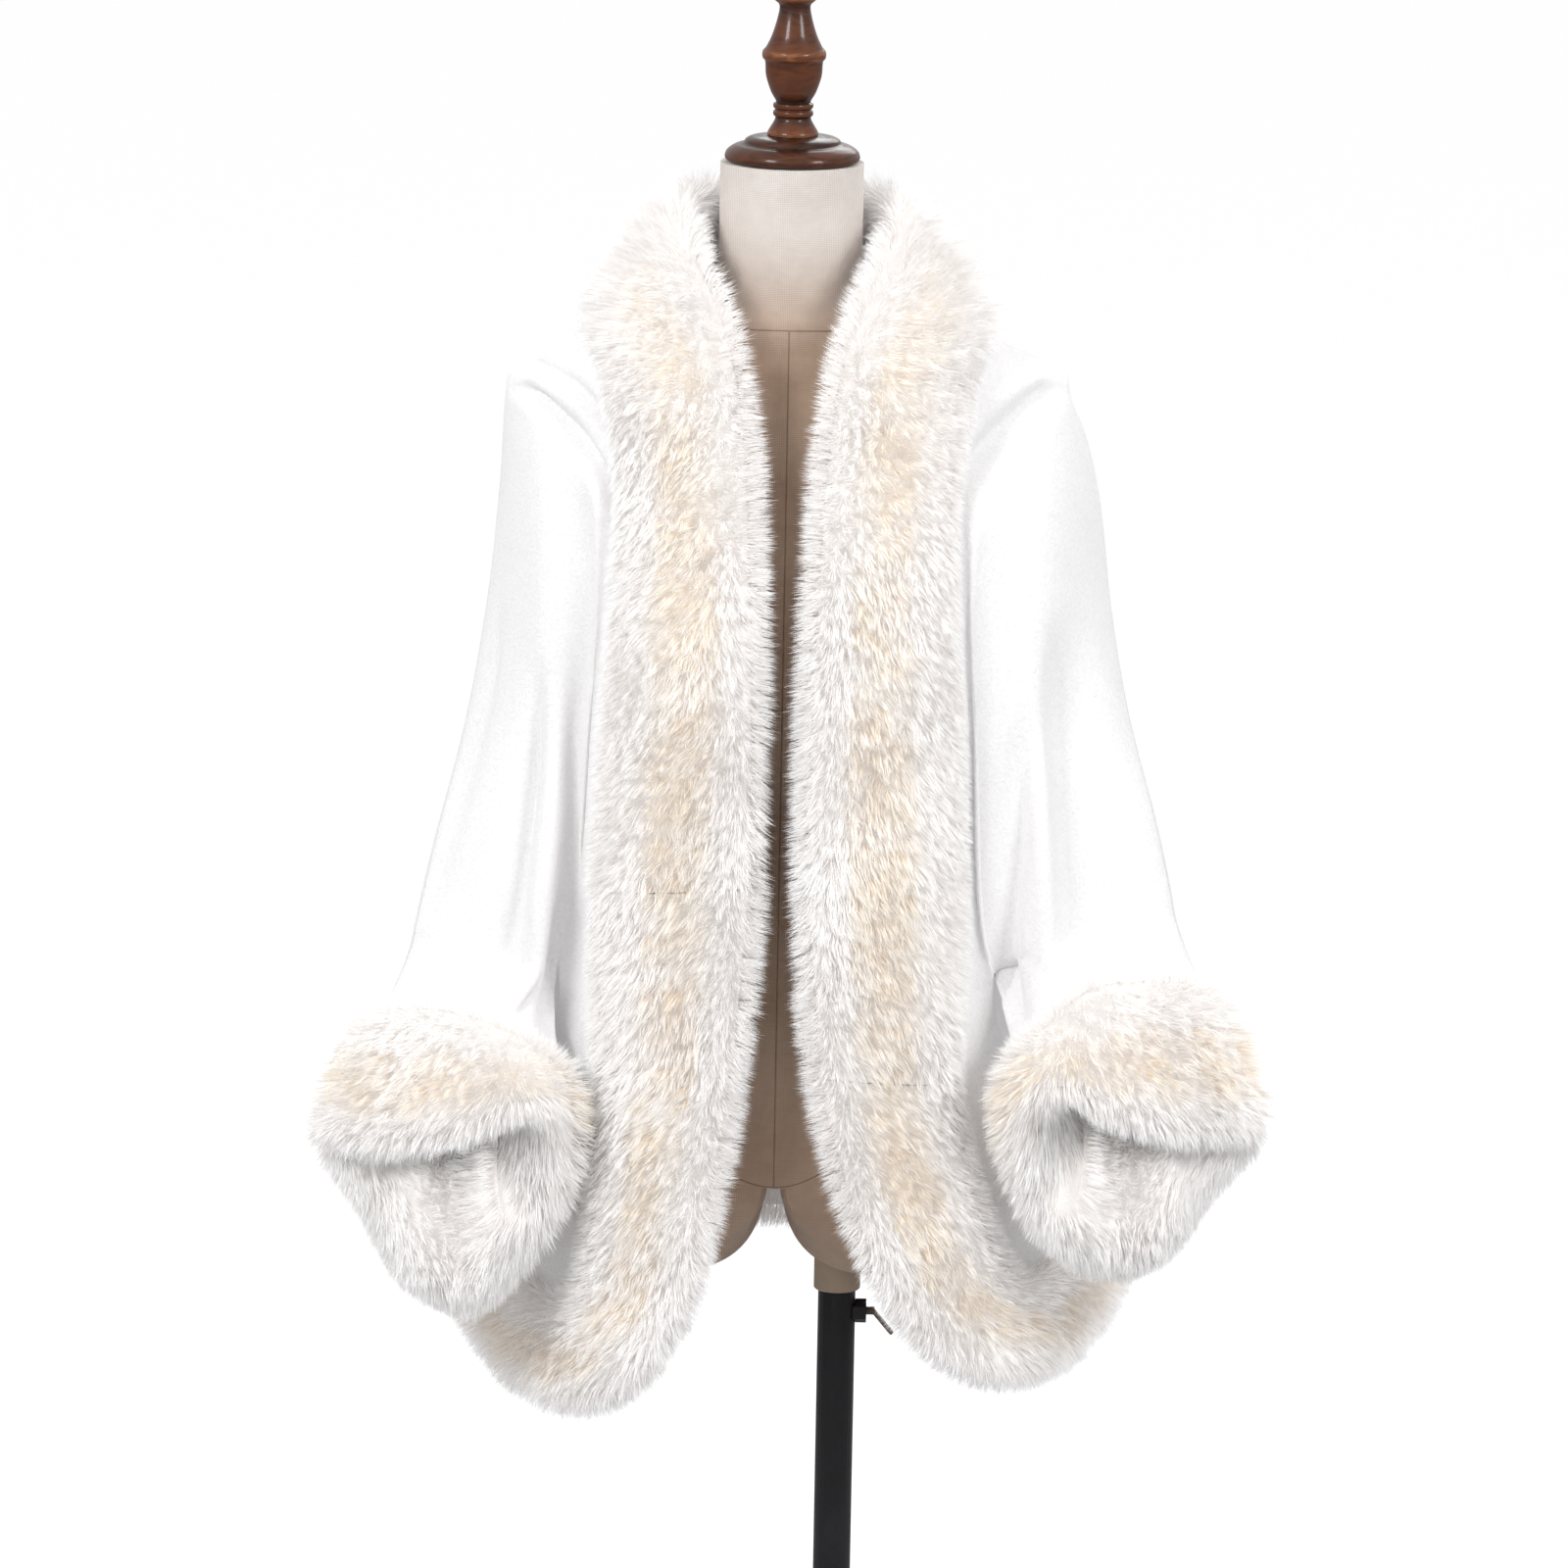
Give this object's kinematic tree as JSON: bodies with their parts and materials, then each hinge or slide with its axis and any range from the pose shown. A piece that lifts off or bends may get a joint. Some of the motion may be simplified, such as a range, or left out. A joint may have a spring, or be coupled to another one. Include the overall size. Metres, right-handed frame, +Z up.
{
  "type": "open-front cape on dress form",
  "caption": "Open-front knitted cape with batwing sleeves, a deep fur border and fur cuffs, on a limbless dress form with a telescopic pole stand.",
  "frame": {"origin": "centre of the base plate's underside, on the pole's axis", "axes": "+Z up, front faces -Y, the wearer's left is +X"},
  "size_m": [0.6816, 0.36, 1.562],
  "materials": {
    "cloth": "matt fleecy knit",
    "fur": "long soft pile",
    "linen": "plain linen weave",
    "wood": "dark gloss lacquer",
    "enamel": "satin black",
    "steel": "brushed"
  },
  "bodies": {
    "stand": {"base_plate": "enamel", "base_collar": "enamel", "stand_tube": "enamel", "clamp_boss": "enamel"},
    "form": {"pole_rod": "steel", "pole_socket": "linen", "form_torso": "linen", "form_thigh_right": "linen", "form_thigh_left": "linen", "neck_cap": "wood", "finial": "wood", "front_right": "cloth", "front_left": "cloth", "back": "cloth", "fur_collar": "fur", "fur_hem": "fur", "fur_front_upper_right": "fur", "fur_front_upper_left": "fur", "fur_front_lower_right": "fur", "fur_front_lower_left": "fur", "fur_cuff_right": "fur", "fur_cuff_left": "fur"},
    "screw": {"clamp_screw": "steel"}
  },
  "joints": [
    {"name": "height_slide", "type": "slide", "parent": "stand", "child": "form", "axis": [0, 0, 1], "range_m": [0, 0.25]},
    {"name": "clamp_turn", "type": "hinge", "parent": "stand", "child": "screw", "pos_m": [0.0215, 0, 0.566], "axis": [1, 0, 0], "range_deg": [-180, 180]}
  ]
}
